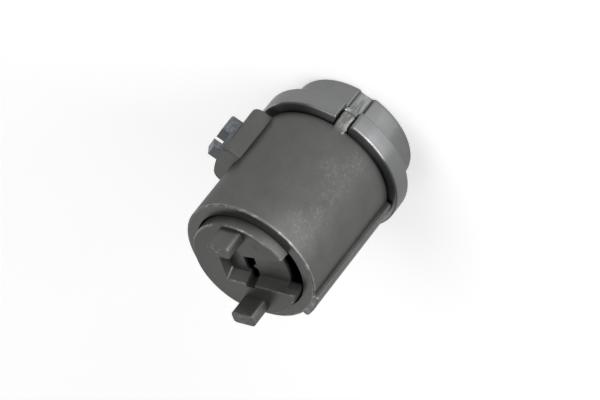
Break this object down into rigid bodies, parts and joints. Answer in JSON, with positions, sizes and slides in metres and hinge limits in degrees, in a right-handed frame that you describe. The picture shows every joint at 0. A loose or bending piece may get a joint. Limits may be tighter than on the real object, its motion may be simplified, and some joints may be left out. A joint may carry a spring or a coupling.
{
  "type": "ignition lock cylinder",
  "caption": "Car ignition lock cylinder: cast housing with sprung latch, plated front cap, and a rotor with wafers, keyway and two drive prongs that turns with the key.",
  "frame": {"origin": "on the lock axis, at the front rim of the cap, which it stands on", "axes": "+Z along the lock axis towards the drive prongs, +X along the drive pocket towards its open side, +Y along the height of the keyway towards the upper prong"},
  "size_m": [0.0362, 0.034, 0.0482],
  "materials": {
    "housing_casting": "dull as-cast zinc",
    "rotor_casting": "satin as-cast zinc",
    "cap_plating": "satin plated",
    "galvanised_steel": "galvanised, speckled",
    "pressed_steel": "satin",
    "spring_wire": "bright drawn",
    "wafer_brass": "stamped"
  },
  "bodies": {
    "housing_body": {"housing": "housing_casting", "front_cap": "cap_plating", "latch_spring": "spring_wire"},
    "rotor_body": {"rotor": "rotor_casting", "rotor_face": "pressed_steel", "retaining_ring": "pressed_steel", "shutter_pin": "pressed_steel", "shutter_spring": "spring_wire", "wafer_spring_1": "spring_wire", "wafer_spring_2": "spring_wire", "wafer_spring_3": "spring_wire", "wafer_spring_4": "spring_wire", "wafer_spring_5": "spring_wire", "wafer_spring_6": "spring_wire", "wafer_spring_7": "spring_wire", "wafer_spring_8": "spring_wire"},
    "latch_body": {"locking_latch": "galvanised_steel"},
    "shutter_body": {"key_shutter": "pressed_steel"},
    "wafer_body_1": {"wafer_1": "wafer_brass"},
    "wafer_body_2": {"wafer_2": "wafer_brass"},
    "wafer_body_3": {"wafer_3": "wafer_brass"},
    "wafer_body_4": {"wafer_4": "wafer_brass"},
    "wafer_body_5": {"wafer_5": "wafer_brass"},
    "wafer_body_6": {"wafer_6": "wafer_brass"},
    "wafer_body_7": {"wafer_7": "wafer_brass"},
    "wafer_body_8": {"wafer_8": "wafer_brass"}
  },
  "joints": [
    {"name": "key_turn", "type": "hinge", "parent": "housing_body", "child": "rotor_body", "pos_m": [0, 0, 0.0408], "axis": [0, 0, 1], "range_deg": [0, 115]},
    {"name": "latch_press", "type": "slide", "parent": "housing_body", "child": "latch_body", "axis": [0.8387, -0.5446, 0], "range_m": [0, 0.0026], "stiffness_N_per_m": 900, "springref_m": -0.003, "deforming": ["latch_spring"]},
    {"name": "shutter_swing", "type": "hinge", "parent": "rotor_body", "child": "shutter_body", "pos_m": [-0.0021, 0, 0.0032], "axis": [0, -1, 0], "range_deg": [0, 90], "stiffness_Nm_per_rad": 0.0015, "springref_deg": -28.65, "deforming": ["shutter_spring"]},
    {"name": "wafer_1_slide", "type": "slide", "parent": "rotor_body", "child": "wafer_body_1", "axis": [0, -1, 0], "range_m": [0, 0.0005], "stiffness_N_per_m": 200, "springref_m": -0.001, "deforming": ["wafer_spring_1"]},
    {"name": "wafer_2_slide", "type": "slide", "parent": "rotor_body", "child": "wafer_body_2", "axis": [0, 1, 0], "range_m": [0, 0.0005], "stiffness_N_per_m": 200, "springref_m": -0.001, "deforming": ["wafer_spring_2"]},
    {"name": "wafer_3_slide", "type": "slide", "parent": "rotor_body", "child": "wafer_body_3", "axis": [0, -1, 0], "range_m": [0, 0.0005], "stiffness_N_per_m": 200, "springref_m": -0.001, "deforming": ["wafer_spring_3"]},
    {"name": "wafer_4_slide", "type": "slide", "parent": "rotor_body", "child": "wafer_body_4", "axis": [0, 1, 0], "range_m": [0, 0.0005], "stiffness_N_per_m": 200, "springref_m": -0.001, "deforming": ["wafer_spring_4"]},
    {"name": "wafer_5_slide", "type": "slide", "parent": "rotor_body", "child": "wafer_body_5", "axis": [0, -1, 0], "range_m": [0, 0.0005], "stiffness_N_per_m": 200, "springref_m": -0.001, "deforming": ["wafer_spring_5"]},
    {"name": "wafer_6_slide", "type": "slide", "parent": "rotor_body", "child": "wafer_body_6", "axis": [0, 1, 0], "range_m": [0, 0.0005], "stiffness_N_per_m": 200, "springref_m": -0.001, "deforming": ["wafer_spring_6"]},
    {"name": "wafer_7_slide", "type": "slide", "parent": "rotor_body", "child": "wafer_body_7", "axis": [0, -1, 0], "range_m": [0, 0.0005], "stiffness_N_per_m": 200, "springref_m": -0.001, "deforming": ["wafer_spring_7"]},
    {"name": "wafer_8_slide", "type": "slide", "parent": "rotor_body", "child": "wafer_body_8", "axis": [0, 1, 0], "range_m": [0, 0.0005], "stiffness_N_per_m": 200, "springref_m": -0.001, "deforming": ["wafer_spring_8"]}
  ]
}
